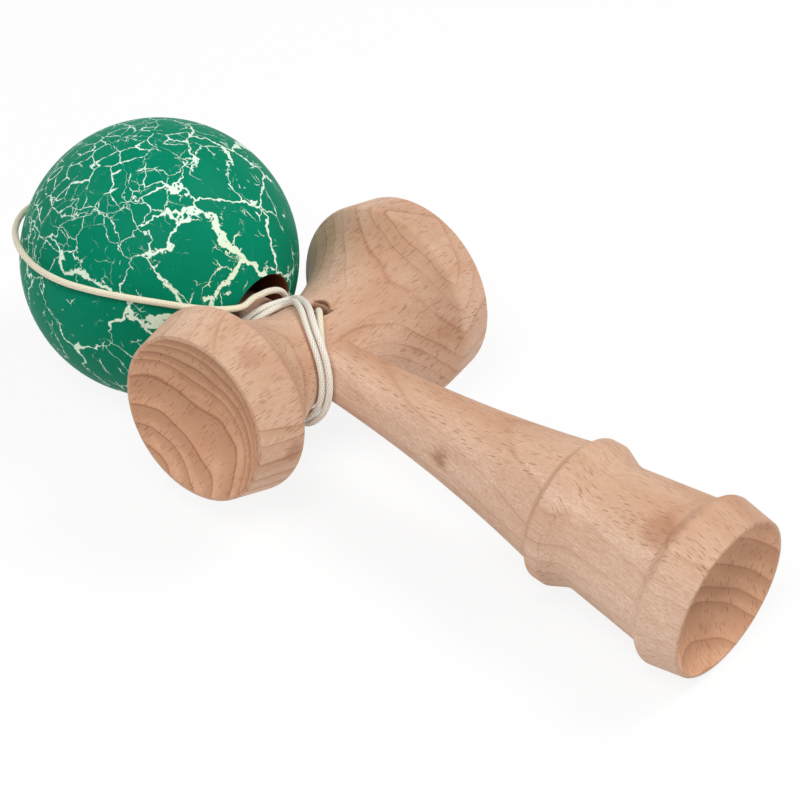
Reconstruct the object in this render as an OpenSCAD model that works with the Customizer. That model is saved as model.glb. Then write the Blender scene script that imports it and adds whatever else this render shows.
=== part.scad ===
// A wooden cup-and-ball toy: a turned handle with a spike, a crosspiece with a cup at each end,
// a painted ball that sits on the spike, and the string that ties the ball to the handle.
// Millimetres. The toy lies on its side: +Z is up, +X runs towards the base cup, +Y towards the big cup.
// Every piece is drawn in the handle's own frame (Z along the handle from the base rim to the spike,
// X along the crosspiece to the big cup, -Y up) and then laid down on its three contact points.

/* [Ken: the handle] */
// Length from the base rim to the spike's tip
ken_len = 152; // [148:0.5:153]
// Diameter of the base cup's rim
base_rim_d = 35; // [32:0.1:37]
// Depth of the base cup
base_cup_depth = 8.5; // [6:0.1:11]
// Largest diameter of the flange round the base cup
flange_d = 38.6; // [37.2:0.1:42]
// Height of the flange's edge above the base rim
flange_h = 9.4; // [7:0.1:11]
// Radius that rounds the flange's edge
flange_round = 1.8; // [0.6:0.1:2.4]
// Diameter at the foot of the flange
grip_d = 33.2; // [31:0.1:36]
// Height of the flange's foot above the base rim
grip_h = 12.6; // [12:0.1:14.5]
// Diameter of the narrow part between flange and ring
grip_waist_d = 28; // [25:0.1:30]
// Height of that narrow part above the base rim
grip_waist_h = 30; // [26:0.1:31.5]
// Diameter of the raised ring
ring_d = 33; // [30.5:0.1:36]
// Height of the ring's lower shoulder above the base rim
ring_low_h = 35; // [33.5:0.1:37]
// Width of the ring between its shoulders
ring_w = 6; // [4.5:0.1:8]
// Diameter of the shaft where it leaves the ring
shaft_root_d = 26; // [23:0.1:28]
// Diameter of the shaft where it enters the crosspiece
shaft_end_d = 12.6; // [12.2:0.1:13.6]
// Diameter of the spike where it leaves the crosspiece
spike_root_d = 11.6; // [10.6:0.1:12]
// Diameter of the spike at the start of its round tip
spike_tip_d = 7; // [5:0.1:9]

/* [Sarado: the crosspiece] */
// Height of the crosspiece's axis above the base rim
sarado_h = 109.7; // [106:0.1:112]
// Length from the middle to the small cup's rim
small_reach = 35.2; // [32:0.1:38]
// Diameter of the small cup's rim
small_rim_d = 36.8; // [33:0.1:39.5]
// Largest diameter of the small cup
small_d = 41.6; // [39.8:0.1:44]
// Depth of the small cup
small_cup_depth = 8.5; // [6:0.1:10]
// Length from the middle to the big cup's rim
big_reach = 35.4; // [33:0.1:39]
// Diameter of the big cup's rim
big_rim_d = 41.6; // [38:0.1:43.5]
// Largest diameter of the big cup
big_d = 44.8; // [43.8:0.1:47]
// Depth of the big cup
big_cup_depth = 9.5; // [7:0.1:11]
// Diameter at the middle of the waist
waist_d = 19.8; // [18.6:0.1:20.4]
// How much wider than the ball the sweep from the waist out to the cups is, as a radius
waist_ease = 3; // [2.6:0.1:5]
// Radius that rounds the shoulder of each cup
shoulder_round = 2; // [0.6:0.1:2.6]
// Diameter of the string hole in the waist
string_hole_d = 4.2; // [3:0.1:5]
// Lean of the string hole towards the big cup, in degrees
string_hole_lean = 14.5; // [8:0.5:18]

/* [Tama: the ball] */
// Diameter of the ball
tama_d = 60; // [58:0.1:61]
// Diameter of the hole that takes the spike
tama_hole_d = 18.8; // [17.8:0.1:20.5]
// Depth of that hole
tama_hole_depth = 42; // [40:0.5:46]
// Chamfer on the hole's mouth
tama_chamfer = 0.5; // [0.2:0.1:1]
// Diameter of the string hole at the far side
tama_string_hole_d = 4; // [3:0.1:5]
// Depth of the countersink on that hole
tama_countersink = 1.2; // [0.8:0.1:2]
// Lean of the ball on the spike towards the small cup, in degrees
tama_lean = 24; // [10:1:30]
// Gap between the ball and the waist, where the string passes
tama_seat_gap = 0.7; // [0.6:0.05:1]

/* [String and bead] */
// Diameter of the string
string_d = 1.5; // [1:0.1:1.6]
// Diameter of the bead
bead_d = 9; // [7:0.1:11]
// Height of the bead
bead_h = 6.5; // [5:0.1:7.5]
// Diameter of the hole through the bead
bead_hole_d = 2.2; // [1.8:0.1:3]
// Diameter of each stopper knot
knot_d = 4; // [3.2:0.1:4.4]
// Height of each stopper knot
knot_h = 3; // [2.2:0.1:3.4]

/* [Clearances] */
// Flat lip left round each cup
lip = 0.8; // [0.4:0.1:1.4]
// Round on the outer edge of each lip
lip_round = 0.3; // [0.1:0.05:0.6]
// Radial play between handle and crosspiece, a push fit
push_fit = 0.03; // [0:0.01:0.1]
// Gap between pieces that move past each other
running_gap = 0.3; // [0.2:0.05:0.5]
// Gap between the string's turns
string_gap = 0.46; // [0.43:0.01:0.6]
// Gap between the string and the wood that it lies on
lay_gap = 0.2; // [0.15:0.01:0.25]

/* [Hidden] */
$fn = 96;
wood = [0.88, 0.72, 0.58];
pale_wood = [0.80, 0.64, 0.48];
green_paint = [0.04, 0.50, 0.38];
cotton = [0.93, 0.91, 0.82];
cut = 1;
arc_steps = 8;
sweep_steps = 28;
taper_steps = 16;

// Radii and heights that follow from the sizes above
tama_r = tama_d / 2;
hole_r = tama_hole_d / 2;
string_r = string_d / 2;
waist_r = waist_d / 2;
waist_sweep = tama_r + waist_ease;
shaft_r = shaft_end_d / 2;
spike_r = spike_root_d / 2;
shaft_end_h = sarado_h - waist_r;
tenon_step_h = sarado_h - 2;
spike_h = sarado_h + waist_r;
knot_pocket_d = knot_d + 1;
knot_hole_d = string_d + 1;

// Rounded outlines: a corner is [radius, height, round], and its two neighbours give the directions
function unit(v) = v / norm(v);
function flat(p) = [p[0], p[1]];
function half_turn(a, b, c) = acos(unit(flat(a) - flat(b)) * unit(flat(c) - flat(b))) / 2;
function round_centre(a, b, c) =
    flat(b) + unit(unit(flat(a) - flat(b)) + unit(flat(c) - flat(b))) * b[2] / sin(half_turn(a, b, c));
function round_corner(a, b, c) =
    let (
        m = round_centre(a, b, c),
        reach = b[2] / tan(half_turn(a, b, c)),
        p = flat(b) + unit(flat(a) - flat(b)) * reach - m,
        q = flat(b) + unit(flat(c) - flat(b)) * reach - m,
        turn = acos(min(1, unit(p) * unit(q)))
    )
    [for (i = [0 : arc_steps])
        let (w = i / arc_steps)
        m + (p * sin((1 - w) * turn) + q * sin(w * turn)) / sin(turn)];
function rounded(path) =
    [for (i = [0 : len(path) - 1])
        each (path[i][2] == undef
            ? [flat(path[i])]
            : round_corner(path[i - 1], path[i], path[i + 1]))];
function bezier2(a, b, c, w) = a * (1 - w) * (1 - w) + b * 2 * w * (1 - w) + c * w * w;
function bezier3(a, b, c, d, w) =
    a * pow(1 - w, 3) + b * 3 * w * pow(1 - w, 2) + c * 3 * w * w * (1 - w) + d * pow(w, 3);

// A cup is a ball-shaped hollow, deeper than it is round, with this radius for its rim and depth
function dish_r(rim_r, depth) = (rim_r * rim_r + depth * depth) / (2 * depth);
module dish(rim_r, depth) {
    translate([0, 0, depth - dish_r(rim_r, depth)])
        sphere(r = dish_r(rim_r, depth));
}

// Handle: corners of the outline from the base rim up to the shaft
lip_edge = [base_rim_d / 2, 0, lip_round];
flange_edge = [flange_d / 2, flange_h, flange_round];
grip_foot = [grip_d / 2, grip_h, 0.8];
grip_waist = [grip_waist_d / 2, grip_waist_h, 5];
ring_low = [ring_d / 2, ring_low_h, 2.6];
ring_high = [ring_d / 2 - 0.1, ring_low_h + ring_w, 1.8];
ring_foot_h = ring_low_h + ring_w + 2.6;
shaft_root = [shaft_root_d / 2, ring_foot_h, 1.2];
taper_low = [shaft_root_d / 2 - 0.25, ring_foot_h + 1.6];
taper_pull = [shaft_r + 1.3, ring_foot_h + 26];
taper_top = [shaft_r, shaft_end_h - 1];
spike_tip_r = spike_tip_d / 2;
spike_shoulder = [spike_tip_r, ken_len - spike_tip_r * 0.7, spike_tip_r * 0.6];

ken_outline = rounded(concat(
    [[0, 0], lip_edge, flange_edge, grip_foot, grip_waist, ring_low, ring_high, shaft_root],
    [for (i = [0 : taper_steps]) bezier2(taper_low, taper_pull, taper_top, i / taper_steps)],
    [
        [shaft_r, tenon_step_h],
        [spike_r, tenon_step_h],
        [spike_r, spike_h],
        spike_shoulder,
        [0, ken_len]
    ]
));

// Crosspiece: the waist is one circular sweep that runs out to the shoulder of each cup
sweep_c = waist_r + waist_sweep;
function waist_at(x) = sweep_c - sqrt(waist_sweep * waist_sweep - x * x);
function sweep_x(r) = sqrt(waist_sweep * waist_sweep - pow(sweep_c - r, 2));
small_shoulder_x = sweep_x(small_d / 2);
big_shoulder_x = sweep_x(big_d / 2);
sweep_from = -0.84 * small_shoulder_x;
sweep_to = 0.84 * big_shoulder_x;
small_rim = [small_rim_d / 2, -small_reach, lip_round];
small_shoulder = [small_d / 2, -small_shoulder_x, shoulder_round];
big_shoulder = [big_d / 2, big_shoulder_x, shoulder_round];
big_rim = [big_rim_d / 2, big_reach, lip_round];
sweep_points = [for (i = [0 : sweep_steps])
    let (x = sweep_from + (sweep_to - sweep_from) * i / sweep_steps)
    [waist_at(x), x]];
sarado_outline = rounded(concat(
    [[0, -small_reach], small_rim, small_shoulder],
    sweep_points,
    [big_shoulder, big_rim, [0, big_reach]]
));

// Ball: the spike lies against the side of its hole, and the ball lies in the sweep of the waist
tama_play = hole_r - spike_r - running_gap;
tama_x = -tama_play * sin(tama_lean);
tama_y = -tama_play * cos(tama_lean);
tama_drop = sqrt(pow(waist_sweep - tama_r - tama_seat_gap, 2) - tama_x * tama_x);
tama_reach = sweep_c - tama_drop;
tama_h = sarado_h + sqrt(tama_reach * tama_reach - tama_y * tama_y);
tama_c = [tama_x, tama_y, tama_h];
hole_mouth = -sqrt(tama_r * tama_r - hole_r * hole_r);
hole_end = hole_mouth + tama_hole_depth;
bead_top = hole_end - running_gap;
bead_low = bead_top - bead_h;

// Lying pose: three contacts with the floor fix the tilt of the handle and the roll of the crosspiece
flange_c = round_centre(lip_edge, flange_edge, grip_foot);
shoulder_c = round_centre(sweep_points[sweep_steps], big_shoulder, big_rim);
function lean_for(a, b, h) = asin(h / norm([a, b])) - atan2(b, a);
function tilt_for(roll) =
    lean_for(
        tama_h - flange_c[1],
        tama_play * cos(tama_lean - roll) + flange_c[0],
        tama_r - flange_round
    );
function axis_height(tilt) = flange_c[0] * cos(tilt) + flange_round - flange_c[1] * sin(tilt);
function roll_for(tilt) =
    let (
        h = axis_height(tilt) + sarado_h * sin(tilt),
        at_shoulder = lean_for(shoulder_c[1], shoulder_c[0], h - shoulder_round),
        at_rim = lean_for(big_reach, big_rim_d / 2, h)
    )
    asin(sin(min(at_shoulder, at_rim)) / cos(tilt));
function settle(roll, passes) = passes == 0 ? roll : settle(roll_for(tilt_for(roll)), passes - 1);
roll = settle(5, 6);
tilt = tilt_for(roll);

// A direction and a point of the handle's frame in the lying frame
function laid_dir(v) =
    let (
        x = v[0] * cos(roll) - v[1] * sin(roll),
        y = v[0] * sin(roll) + v[1] * cos(roll),
        z = v[2]
    )
    [-z * cos(tilt) - y * sin(tilt), x, z * sin(tilt) - y * cos(tilt)];
low_x = laid_dir(tama_c)[0] - tama_r;
high_x = base_rim_d / 2 * sin(tilt);
low_y = laid_dir([-small_reach, 0, sarado_h])[1] - small_rim_d / 2 * sin(roll);
high_y = laid_dir([big_reach, 0, sarado_h])[1] + big_rim_d / 2 * sin(roll);
origin = [-(low_x + high_x) / 2, -(low_y + high_y) / 2, axis_height(tilt)];
module laid() {
    translate(origin)
        rotate([0, tilt, 0])
            rotate([-90, 0, 0])
                rotate([0, -90, 0])
                    rotate([0, 0, roll])
                        children();
}

// Line of the string hole: through the crosspiece's wall and the handle, leaning to the big cup
hole_dir = [sin(string_hole_lean), -cos(string_hole_lean), 0];
function on_hole_line(t) = [0, 0, sarado_h] + hole_dir * t;
module along_hole_line(t) {
    translate(on_hole_line(t))
        rotate([0, 0, string_hole_lean])
            rotate([90, 0, 0])
                children();
}
knot_seat = -2.2;
lead_end = waist_r - 4.9;
lead_out = lead_end + string_d;

// Winding: the string goes three times round the waist. The angle runs from 90 at the spike down the front
// to -90 at the shaft, then up the back. The turns pass the small-cup side of the shaft and of the spike,
// swing towards the string hole in front, and the last comes up on the big-cup side of the spike.
pitch = string_d + string_gap;
turn_step = 15;
past_spike = spike_r + string_r + lay_gap;
past_shaft = shaft_r + string_r + 2 * lay_gap;
swing = 8.2;
swing_at = 38;
swing_below = 56;
swing_above = 20;
function mix(a, b, w) = a + (b - a) * w;
function ease(w) = let (v = min(1, max(0, w))) v * v * (3 - 2 * v);
function ring_x(a) = -mix(past_shaft, past_spike, (1 + sin(a)) / 2);
function swing_x(a) = swing * exp(-pow((a - swing_at) / (a < swing_at ? swing_below : swing_above), 2));
function first_x(a) = ring_x(a) + swing_x(a) - pitch * (1 - sin(a)) / 2;

// Where the turns run slanted, their spacing along the crosspiece is wider than the spacing square to them
function arc_of(a) = waist_r * a * PI / 180;
function slant(a) = norm([1, (first_x(a + 2) - first_x(a - 2)) / arc_of(4)]);
// Radius, about the crosspiece's axis, of a turn that lies on the waist, and of one that also lies on others
function lying(x) = sweep_c - sqrt(pow(waist_sweep - string_r - lay_gap, 2) - x * x);
function over(x, at, wide) =
    abs(x - at) < pitch * wide ? lying(at) + sqrt(pitch * pitch - pow((x - at) / wide, 2)) : 0;
function resting(x, others, wide) = max(concat([lying(x)], [for (at = others) over(x, at, wide)]));

// The lead, which comes out of the string hole, and the turn that lies between it and the first turn
hole_x = waist_r * tan(string_hole_lean);
lead_off = hole_x - first_x(0) - pitch * slant(0);
function lead_x(a) = first_x(a) + pitch * slant(a) + lead_off * pow(1 + sin(a), 1.4);
function second_off(a) = a > 45 ? mix(1, -1, ease((a - 45) / 45)) : mix(1, 0.5, ease((10 - a) / 45));
function second_x(a) = first_x(a) + second_off(a) * pitch * slant(a);
// The last turn leaves its neighbours behind the shaft and crosses the back to the big-cup side
function last_x(w) = mix(second_x(-90), past_spike, ease((w - 0.2) / 0.8));
function last_wide(w) = norm([1, (last_x(w + 0.01) - last_x(w - 0.01)) / arc_of(3.6)]);

// Place of the winding after a total angle from the spike: [along the crosspiece, radius]
function wound(total) =
    let (half = min(5, floor(total / 180)), w = total / 180 - half, a = 90 - total % 360)
    half == 0 ? [lead_x(a), lying(lead_x(a))]
    : half == 1 ? [ring_x(a), lying(ring_x(a))]
    : half == 2 ? [first_x(a), lying(first_x(a))]
    : half == 3 ? [ring_x(a) - pitch, lying(ring_x(a) - pitch)]
    : half == 4 ? [second_x(a), resting(second_x(a), a > 0 ? [first_x(a)] : [first_x(a), lead_x(a)], slant(a))]
    : [last_x(w), resting(last_x(w), [ring_x(a), ring_x(a) - pitch], last_wide(w))];
function wound_point(total) =
    let (p = wound(total), a = 90 - total)
    [p[0], -p[1] * cos(a), sarado_h + p[1] * sin(a)];
wind_from = 150;
wind_to = 1080;
// The lead leaves its hole in a loose bend and comes to lie on the waist where the turns begin
lead_steps = 12;
lead_bend = [
    on_hole_line(lead_out),
    on_hole_line(lead_out + 7),
    wound_point(wind_from) - unit(wound_point(wind_from + 3) - wound_point(wind_from)) * 9,
    wound_point(wind_from)
];
wind_end = wound_point(wind_to);
wind_end_dir = [0, -1, 0];
wind_path = concat(
    [on_hole_line(lead_end)],
    [for (i = [0 : lead_steps - 1])
        bezier3(lead_bend[0], lead_bend[1], lead_bend[2], lead_bend[3], i / lead_steps)],
    [for (a = [wind_from : turn_step : wind_to]) wound_point(a)],
    [wind_end + wind_end_dir * string_d]
);

// Run: from the winding across the front of the spike, then over the ball to its far side.
// The first points are measured from the middle of the crosspiece, the rest from the ball's centre.
run_points_low = [
    [6.7, -3.2, 11.4],
    [5.4, -5.9, 11.5],
    [3, -8, 11.5],
    [-0.2, -9.3, 11.4],
    [-3.2, -9.9, 11.2],
    [-5.8, -10.3, 11]
];
run_points_ball = [
    [-7.8, -7, -30.2],
    [-11.8, -7.3, -28.6],
    [-16.6, -8.1, -25.3],
    [-22.7, -9.3, -19.4],
    [-26.4, -9.4, -13.9],
    [-29.1, -8.9, -7.6],
    [-30.5, -7.8, 0.2],
    [-29.6, -6.6, 8.3],
    [-26.5, -5.7, 16],
    [-20.3, -4, 23.6],
    [-12.7, -2.4, 28.7],
    [-7, -1.2, 30.6],
    [-3.6, -0.6, 31.2],
    [-1.5, -0.2, 30.6],
    [-0.3, 0, 29.2],
    [0, 0, 27.6]
];
run_path = concat(
    [wind_end + wind_end_dir * string_d],
    [for (p = run_points_low) p + [0, 0, sarado_h]],
    [for (p = run_points_ball) p + tama_c],
    [tama_c + [0, 0, run_points_ball[len(run_points_ball) - 1][2] - string_d]]
);
tail_top = run_path[len(run_path) - 1][2] - tama_h;

// A round tube along a path of points: each ring is square to the path and keeps its twist from the last
function path_dir(p, i) =
    i == 0 ? unit(p[1] - p[0])
    : i == len(p) - 1 ? unit(p[i] - p[i - 1])
    : unit(unit(p[i + 1] - p[i]) + unit(p[i] - p[i - 1]));
function side_dir(d, s) = unit(s - d * (s * d));
function side_dirs(p, i, s) =
    i == len(p) ? []
    : let (n = side_dir(path_dir(p, i), s)) concat([n], side_dirs(p, i + 1, n));
function first_side(d) = side_dir(d, abs(d[2]) < 0.8 ? [0, 0, 1] : [1, 0, 0]);
function tube_rings(p, r, sides) =
    let (n = side_dirs(p, 0, first_side(path_dir(p, 0))))
    [for (i = [0 : len(p) - 1])
        let (m = cross(path_dir(p, i), n[i]))
        for (k = [0 : sides - 1])
            p[i] + (n[i] * cos(360 * k / sides) + m * sin(360 * k / sides)) * r];
module tube(p, r, sides) {
    last = (len(p) - 1) * sides;
    walls = [for (i = [0 : len(p) - 2])
        for (k = [0 : sides - 1])
            let (a = i * sides + k, b = i * sides + (k + 1) % sides)
            each [[a, a + sides, b], [b, a + sides, b + sides]]];
    ends = [for (k = [1 : sides - 2]) each [[0, k, k + 1], [last, last + k + 1, last + k]]];
    polyhedron(points = tube_rings(p, r, sides), faces = concat(walls, ends));
}

// Least gap of the winding to itself, between points more than a quarter turn apart
function nearest(p, q) = min([for (b = q) norm(p - b)]);
wind_fine = [for (a = [wind_from : 5 : wind_to]) wound_point(a)];
wind_gap = min([for (i = [0 : len(wind_fine) - 31])
    nearest(wind_fine[i], [for (j = [i + 30 : len(wind_fine) - 1]) wind_fine[j]])]) - string_d;
echo(least_gap_in_winding = wind_gap);

// Turned beech handle with its base cup, the cross hole for the string and a pocket for the knot
module ken() {
    color(wood)
        laid()
            difference() {
                rotate_extrude()
                    polygon(ken_outline);
                dish(base_rim_d / 2 - lip, base_cup_depth);
                along_hole_line(-shaft_r - cut)
                    cylinder(h = 2 * (shaft_r + cut), d = knot_hole_d);
                along_hole_line(-shaft_r - cut)
                    cylinder(h = shaft_r + cut + knot_seat, d = knot_pocket_d);
            }
}

// Turned beech crosspiece with a cup at each end, a stepped bore for the handle and a string hole
module sarado() {
    color(wood)
        laid()
            difference() {
                translate([0, 0, sarado_h])
                    rotate([0, 90, 0])
                        difference() {
                            rotate_extrude()
                                polygon(sarado_outline);
                            translate([0, 0, -small_reach])
                                dish(small_rim_d / 2 - lip, small_cup_depth);
                            translate([0, 0, big_reach])
                                rotate([180, 0, 0])
                                    dish(big_rim_d / 2 - lip, big_cup_depth);
                        }
                translate([0, 0, sarado_h - 2 * waist_r])
                    cylinder(h = 4 * waist_r, r = spike_r + push_fit);
                translate([0, 0, sarado_h - 2 * waist_r])
                    cylinder(h = tenon_step_h - sarado_h + 2 * waist_r, r = shaft_r + push_fit);
                along_hole_line(0)
                    cylinder(h = waist_r + 2 * cut, d = string_hole_d);
                along_hole_line(waist_r - 0.5)
                    cylinder(h = 1.2, d1 = string_hole_d, d2 = string_hole_d + 2.4);
            }
}

// Painted ball with the hole for the spike and a countersunk string hole at the far side
module tama() {
    color(green_paint)
        laid()
            translate(tama_c)
                difference() {
                    sphere(r = tama_r);
                    translate([0, 0, -tama_r - cut])
                        cylinder(h = hole_end + tama_r + cut, r = hole_r);
                    translate([0, 0, hole_mouth - tama_chamfer])
                        cylinder(h = 2 * tama_chamfer, r1 = hole_r + 2 * tama_chamfer, r2 = hole_r);
                    cylinder(h = tama_r + cut, d = tama_string_hole_d);
                    translate([0, 0, tama_r - tama_countersink])
                        cylinder(
                            h = tama_countersink + cut,
                            d1 = tama_string_hole_d,
                            d2 = tama_string_hole_d + 2 * (tama_countersink + cut)
                        );
                }
}

// Barrel-shaped wooden bead that stops the string inside the ball
module bead() {
    color(pale_wood)
        laid()
            translate(tama_c + [0, 0, bead_low])
                difference() {
                    intersection() {
                        cylinder(h = bead_h, d = bead_d + cut);
                        translate([0, 0, bead_h / 2])
                            sphere(d = bead_d);
                    }
                    translate([0, 0, -cut])
                        cylinder(h = bead_h + 2 * cut, d = bead_hole_d);
                }
}

// Stopper knot: a round lump with a flat face where it bears
module knot() {
    rotate_extrude()
        polygon(rounded([
            [0, 0],
            [knot_d / 2, 0, knot_h * 0.3],
            [knot_d / 2, knot_h, knot_h * 0.45],
            [0, knot_h]
        ]));
}
module bead_knot() {
    color(cotton)
        laid()
            translate(tama_c + [0, 0, bead_low - knot_h])
                knot();
}
module ken_knot() {
    color(cotton)
        laid()
            along_hole_line(knot_seat - knot_h)
                knot();
}

// String from the knot in the handle up into the crosspiece's string hole
module string_lead() {
    color(cotton)
        laid()
            along_hole_line(knot_seat)
                cylinder(h = lead_end - knot_seat, r = string_r);
}

// String's turns round the waist, one unbroken tube
module string_wraps() {
    color(cotton)
        laid()
            tube(wind_path, string_r, 6);
}

// String's run from the winding over the ball to its far side
module string_run() {
    color(cotton)
        laid()
            tube(run_path, string_r, 8);
}

// String from the far side of the ball through the bead to the knot
module string_tail() {
    color(cotton)
        laid()
            translate(tama_c + [0, 0, bead_low])
                cylinder(h = tail_top - bead_low, r = string_r);
}

ken();
sarado();
tama();
bead();
bead_knot();
ken_knot();
string_lead();
string_wraps();
string_run();
string_tail();
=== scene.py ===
"""A kendama on its side: beech handle and crosspiece, green crackled ball, braided cotton string."""
import math

import bpy
from mathutils import Matrix, Vector


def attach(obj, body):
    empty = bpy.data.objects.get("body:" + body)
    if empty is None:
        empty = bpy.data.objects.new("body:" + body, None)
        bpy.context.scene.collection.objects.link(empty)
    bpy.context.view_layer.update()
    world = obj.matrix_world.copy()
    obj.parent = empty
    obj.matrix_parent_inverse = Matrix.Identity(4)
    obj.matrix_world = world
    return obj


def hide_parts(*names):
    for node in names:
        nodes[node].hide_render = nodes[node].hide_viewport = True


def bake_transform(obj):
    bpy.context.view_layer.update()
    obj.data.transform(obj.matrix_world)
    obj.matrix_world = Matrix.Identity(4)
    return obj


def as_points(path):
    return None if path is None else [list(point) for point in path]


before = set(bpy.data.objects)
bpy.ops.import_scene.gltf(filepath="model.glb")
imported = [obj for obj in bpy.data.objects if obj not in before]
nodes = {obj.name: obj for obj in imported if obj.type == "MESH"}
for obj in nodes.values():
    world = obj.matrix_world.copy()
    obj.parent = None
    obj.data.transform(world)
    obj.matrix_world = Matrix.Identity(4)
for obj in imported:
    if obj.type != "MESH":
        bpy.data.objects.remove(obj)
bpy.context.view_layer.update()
bpy.ops.object.select_all(action="DESELECT")
scene = bpy.context.scene

# The handle's own frame, in millimetres, has Z along the handle from the base rim to the spike, X along the
# crosspiece to the big cup and -Y up. The toy lies tilted and rolled on the floor, in metres.
MM = 0.001
TILT = math.radians(3.12773)
ROLL = math.radians(5.36543)
LAID_AT = Vector((89.6358, -0.2118, 18.6594))
LAID = Matrix((
    (-math.sin(TILT) * math.sin(ROLL), -math.sin(TILT) * math.cos(ROLL), -math.cos(TILT)),
    (math.cos(ROLL), -math.sin(ROLL), 0),
    (-math.cos(TILT) * math.sin(ROLL), -math.cos(TILT) * math.cos(ROLL), math.sin(TILT)),
))

# Wood, in millimetres: each cup's rim radius and depth, the crosspiece's ends, height, waist and the sweep of
# its sides, the spike and shaft, and the ball
BASE_CUP, SMALL_CUP, BIG_CUP = (16.7, 8.5), (17.6, 8.5), (20, 9.5)
SMALL_END, BIG_END = -35.2, 35.4
SARADO_H, WAIST_R, SWEEP = 109.7, 9.9, 33.0
SPIKE_R, SHAFT_R = 5.8, 6.3
BALL, BALL_R = Vector((-1.3422, -3.0147, 150.621)), 30.0

# Holes for the string: how they lean, the lead's hole and the knot's pocket in the handle, how far the drill
# goes from the handle's axis, and the hole in the crosspiece
HOLE_LEAN = math.radians(14.5)
LEAD_HOLE_R, POCKET_R, DRILL_REACH, SARADO_HOLE_R = 1.25, 2.5, 9, 2.1

# String, in millimetres: its radius in the solids and as it is seen, the gap below it, the step from one turn
# to the next, its two knots, and where it leaves the hole and passes the spike and the shaft
STRING_R, CORD_R, LAY_GAP, PITCH = 0.75, 0.7, 0.2, 1.58
BEAD_LOW, KNOT_H, KNOT_SEAT = 6.7107, 3.0, -2.2
LEAD_END = WAIST_R - 4.9
LEAD_OUT = LEAD_END + 2 * STRING_R
PAST_SPIKE = SPIKE_R + STRING_R + LAY_GAP
PAST_SHAFT = SHAFT_R + STRING_R + 2 * LAY_GAP

# The turns in front swing towards the big cup: how far, at which angle, and how wide below and above it
SWING, SWING_AT, SWING_BELOW, SWING_ABOVE = 8.2, 38, 56, 20

# Degrees wound where the lead has joined the turns and where the run leaves them, and the step between points
WOUND_FROM, WOUND_TO, WOUND_STEP = 150, 1080, 15

# The run from the last turn, measured from the crosspiece's middle, and over the ball, from the ball's middle
RUN_LOW = [(6.7, -3.2, 11.4), (5.4, -5.9, 11.5), (3, -8, 11.5), (-0.2, -9.3, 11.4), (-3.2, -9.9, 11.2),
           (-5.8, -10.3, 11)]
RUN_BALL = [(-7.8, -7, -30.2), (-11.8, -7.3, -28.6), (-16.6, -8.1, -25.3), (-22.7, -9.3, -19.4),
            (-26.4, -9.4, -13.9), (-29.1, -8.9, -7.6), (-30.5, -7.8, 0.2), (-29.6, -6.6, 8.3),
            (-26.5, -5.7, 16), (-20.3, -4, 23.6), (-12.7, -2.4, 28.7), (-7, -1.2, 30.6), (-3.6, -0.6, 31.2),
            (-1.5, -0.2, 30.6), (-0.3, 0, 29.2), (0, 0, 27.6)]

# The braid: strands each way, the millimetres in which one goes round, and the gaps' depth for the radius
BRAID_STRANDS, BRAID_LAY, BRAID_RELIEF = 8, 1.25, 0.09
STRING_SIDES, STRING_STEP = 48, 0.2
# The knots: points round the loop, the cord's sides and radius there, and the loop's width and height
KNOT_POINTS, KNOT_SIDES, KNOT_CORD_R, KNOT_WIDE, KNOT_TALL = 240, 40, 0.6, 0.55 * 0.83, 0.82

LATHE_STEPS, DRILL_SIDES, ROUND_STEPS, CURVE_STEPS = 160, 48, 10, 24
CREASE = math.radians(32)


def laid(p):
    return (LAID @ Vector(p) + LAID_AT) * MM


def mix(a, b, w):
    return a + (b - a) * w


def ease(w):
    v = min(1, max(0, w))
    return v * v * (3 - 2 * v)


def sin(a):
    return math.sin(math.radians(a))


def cos(a):
    return math.cos(math.radians(a))


# The winding: angle a runs from 90 at the spike down the front to -90 at the shaft, then up the back
def ring_x(a):
    return -mix(PAST_SHAFT, PAST_SPIKE, (1 + sin(a)) / 2)


def next_ring_x(a):
    return ring_x(a) - PITCH


def first_x(a):
    wide = SWING_BELOW if a < SWING_AT else SWING_ABOVE
    swing = SWING * math.exp(-(((a - SWING_AT) / wide) ** 2))
    return ring_x(a) + swing - PITCH * (1 - sin(a)) / 2


def arc_of(a):
    return WAIST_R * math.radians(a)


def slant(a):
    return math.hypot(1, (first_x(a + 2) - first_x(a - 2)) / arc_of(4))


def lying(x):
    return WAIST_R + SWEEP - math.sqrt((SWEEP - STRING_R - LAY_GAP) ** 2 - x * x)


def resting(x, others, wide):
    """How far from the axis the string lies at x, on the waist or on the turns below it."""
    heights = [lying(x)]
    for at in others:
        if abs(x - at) < PITCH * wide:
            heights.append(lying(at) + math.sqrt(PITCH ** 2 - ((x - at) / wide) ** 2))
    return max(heights)


LEAD_OFF = WAIST_R * math.tan(HOLE_LEAN) - first_x(0) - PITCH * slant(0)


def lead_x(a):
    return first_x(a) + PITCH * slant(a) + LEAD_OFF * (1 + sin(a)) ** 1.4


def second_x(a):
    off = mix(1, -1, ease((a - 45) / 45)) if a > 45 else mix(1, 0.5, ease((10 - a) / 45))
    return first_x(a) + off * PITCH * slant(a)


def last_x(w):
    return mix(second_x(-90), PAST_SPIKE, ease((w - 0.2) / 0.8))


def wound_point(total):
    """The string's point after so many degrees: six half turns, of which the last two lie on the others."""
    half = min(5, total // 180)
    a = 90 - total % 360
    if half < 4:
        x = (lead_x, ring_x, first_x, next_ring_x)[half](a)
        r = lying(x)
    elif half == 4:
        x = second_x(a)
        r = resting(x, [first_x(a)] if a > 0 else [first_x(a), lead_x(a)], slant(a))
    else:
        w = total / 180 - half
        x = last_x(w)
        wide = math.hypot(1, (last_x(w + 0.01) - last_x(w - 0.01)) / arc_of(3.6))
        r = resting(x, [ring_x(a), next_ring_x(a)], wide)
    return Vector((x, -r * cos(a), SARADO_H + r * sin(a)))


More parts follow.
